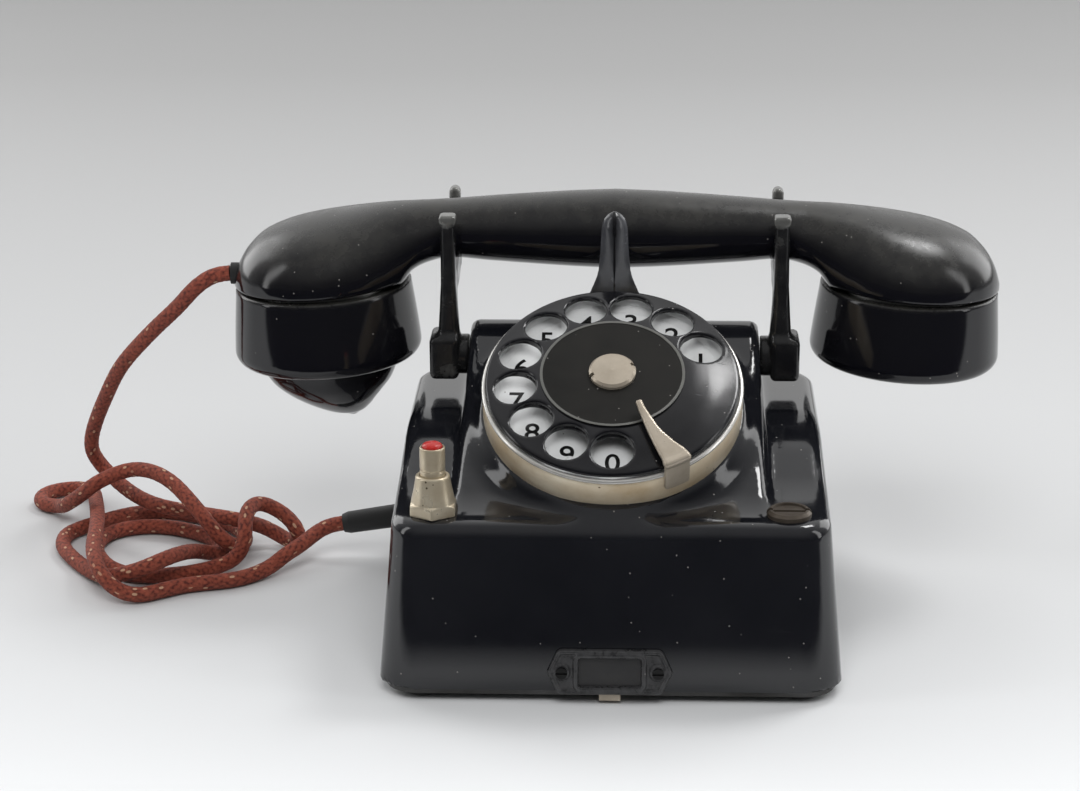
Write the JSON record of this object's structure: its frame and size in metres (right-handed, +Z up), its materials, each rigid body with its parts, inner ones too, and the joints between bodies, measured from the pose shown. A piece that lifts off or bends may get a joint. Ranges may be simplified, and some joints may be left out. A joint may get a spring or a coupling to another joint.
{
  "type": "desk telephone",
  "caption": "Desk telephone with a sloping rotary dial in a black steel casing, a moulded handset on a sprung fork cradle, a push button and a braided cord.",
  "frame": {"origin": "on the table under the middle of the casing", "axes": "+Z up, +Y from the dial towards the back, +X to the right as seen from the front"},
  "size_m": [0.3217, 0.1722, 0.1281],
  "materials": {
    "black_enamel": "glossy",
    "plate_steel": "satin",
    "rubber": "matt",
    "screw_steel": "satin",
    "card": "matt",
    "dark_screw": "satin",
    "nickel": "satin",
    "nickel_brass": "worn nickel plate",
    "white_enamel": "glossy",
    "wheel_black": "glossy",
    "disc_black": "dull",
    "brass": "machined",
    "spring_steel": "bright",
    "insulator": "dull",
    "red_plastic": "glossy",
    "old_brass": "tarnished",
    "bakelite": "worn gloss",
    "capsule_alloy": "plain",
    "gong_metal": "plain",
    "winding": "varnished",
    "capacitor_can": "satin",
    "braid": "braided cotton"
  },
  "bodies": {
    "body": {"casing": "black_enamel", "base_plate": "plate_steel", "rubber_feet": "rubber", "base_screws": "screw_steel", "label_frame": "black_enamel", "label_card": "card", "label_screws": "dark_screw", "front_catch": "nickel", "line_grommet": "rubber", "carrying_horn": "black_enamel", "horn_screws": "screw_steel", "dial_case": "nickel_brass", "dial_screws": "screw_steel", "dial_mechanism_plate": "plate_steel", "number_plate": "white_enamel", "finger_stop": "nickel", "mechanism_bridge": "plate_steel", "governor_cup": "brass", "pulse_contacts": "insulator", "cradle_springs": "spring_steel", "cradle_bracket": "plate_steel", "hook_switch": "insulator", "button_housing": "nickel_brass", "button_spring": "spring_steel", "button_nut": "screw_steel", "button_contacts": "insulator", "blanking_plug": "old_brass", "plug_nut": "screw_steel", "ringer_frame": "plate_steel", "gongs": "gong_metal", "gong_screws": "screw_steel", "ringer_coils": "winding", "induction_coil": "winding", "capacitor": "capacitor_can", "terminal_block": "insulator", "cord_sleeve": "rubber", "cord": "braid"},
    "dial": {"finger_wheel": "wheel_black", "disc_ring": "nickel", "centre_disc": "disc_black", "centre_cap": "nickel", "dial_spindle": "screw_steel", "main_gear": "brass", "return_spring": "spring_steel"},
    "pulse_shaft": {"pulse_wheel": "brass"},
    "governor_shaft": {"governor": "brass"},
    "cradle": {"cradle_yoke": "plate_steel", "left_fork": "black_enamel", "right_fork": "black_enamel"},
    "button": {"button_plunger": "nickel_brass", "button_tip": "red_plastic"},
    "handset": {"handset_grip": "bakelite", "receiver_cap": "bakelite", "transmitter_cap": "bakelite", "receiver_capsule": "capsule_alloy", "transmitter_capsule": "capsule_alloy", "mouthpiece": "bakelite", "cord_gland": "rubber"},
    "ringer_clapper": {"clapper": "brass"}
  },
  "joints": [
    {"name": "dial_turn", "type": "hinge", "parent": "body", "child": "dial", "pos_m": [0, -0.02098, 0.07498], "axis": [0, 0.4695, -0.8829], "range_deg": [0, 316], "stiffness_Nm_per_rad": 0.004},
    {"name": "pulse_turn", "type": "hinge", "parent": "body", "child": "pulse_shaft", "pos_m": [-0.01871, -0.01144, 0.08005], "axis": [0, 0.4695, -0.8829], "range_deg": [-1600, 0]},
    {"name": "governor_turn", "type": "hinge", "parent": "body", "child": "governor_shaft", "pos_m": [-0.02384, -0.02389, 0.07344], "axis": [0, 0.4695, -0.8829], "range_deg": [0, 6400]},
    {"name": "handset_lift", "type": "slide", "parent": "body", "child": "handset", "axis": [0, 0, 1], "range_m": [0, 0.1]},
    {"name": "cradle_rise", "type": "slide", "parent": "body", "child": "cradle", "axis": [0, 0, 1], "range_m": [0, 0.006], "deforming": ["cradle_springs"]},
    {"name": "button_press", "type": "slide", "parent": "body", "child": "button", "axis": [0, 0, -1], "range_m": [0, 0.004], "stiffness_N_per_m": 150, "deforming": ["button_spring"]},
    {"name": "clapper_swing", "type": "hinge", "parent": "body", "child": "ringer_clapper", "pos_m": [0, 0.00998, 0.023], "axis": [0, 0, 1], "range_deg": [-5, 5]}
  ],
  "couplings": [
    {"joint": "pulse_turn", "follows": "dial_turn", "ratio": -5},
    {"joint": "governor_turn", "follows": "dial_turn", "ratio": 20},
    {"joint": "cradle_rise", "follows": "handset_lift", "ratio": 0.06}
  ]
}
